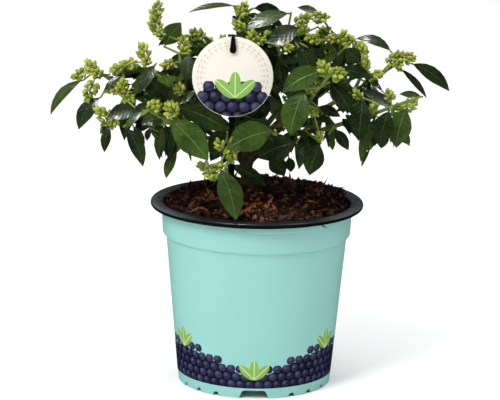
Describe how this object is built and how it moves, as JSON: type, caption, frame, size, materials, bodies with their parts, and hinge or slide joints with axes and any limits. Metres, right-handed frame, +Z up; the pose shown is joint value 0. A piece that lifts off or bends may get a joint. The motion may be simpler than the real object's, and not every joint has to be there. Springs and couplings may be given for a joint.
{
  "type": "potted blueberry bush",
  "caption": "Low round blueberry bush with glossy leaves and green bud clusters in a tapered round pot with a rolled rim and a plain round plant tag.",
  "frame": {"origin": "on the pot's axis, at the flat underside of the pot that stands on the ground", "axes": "+Z up; -Y is the front, where the plant tag faces; +X to the right as seen from the front"},
  "size_m": [0.313, 0.2412, 0.3062],
  "materials": {
    "pot": "pale blue-green moulded plastic, satin gloss",
    "rim": "black moulded plastic, satin gloss",
    "soil": "dark crumbly peat and bark",
    "bark": "brown fissured bark",
    "foliage": "glossy dark green leaves, yellow-green buds",
    "tag": "cream card with a satin film",
    "stick": "black moulded plastic"
  },
  "bodies": {
    "root": {"pot": "pot", "pot_rim": "rim", "soil": "soil", "plant_tag": "tag", "tag_stick": "stick", "trunk": "bark", "bough_left_outer": "bark", "bough_left_upper": "bark", "bough_left_lower": "bark", "bough_left_top": "bark", "bough_left_back": "bark", "bough_front_low": "bark", "bough_front_right": "bark", "bough_middle": "bark", "bough_top_middle": "bark", "bough_back": "bark", "bough_right_top": "bark", "bough_right_upper": "bark", "bough_right_outer": "bark", "bough_right_lower": "bark", "bough_right_back": "bark", "foliage_left_outer": "foliage", "foliage_left_upper": "foliage", "foliage_left_lower": "foliage", "foliage_left_top": "foliage", "foliage_left_back": "foliage", "foliage_front_low": "foliage", "foliage_front_right": "foliage", "foliage_middle": "foliage", "foliage_top_middle": "foliage", "foliage_back": "foliage", "foliage_right_top": "foliage", "foliage_right_upper": "foliage", "foliage_right_outer": "foliage", "foliage_right_lower": "foliage", "foliage_right_back": "foliage"}
  },
  "joints": []
}
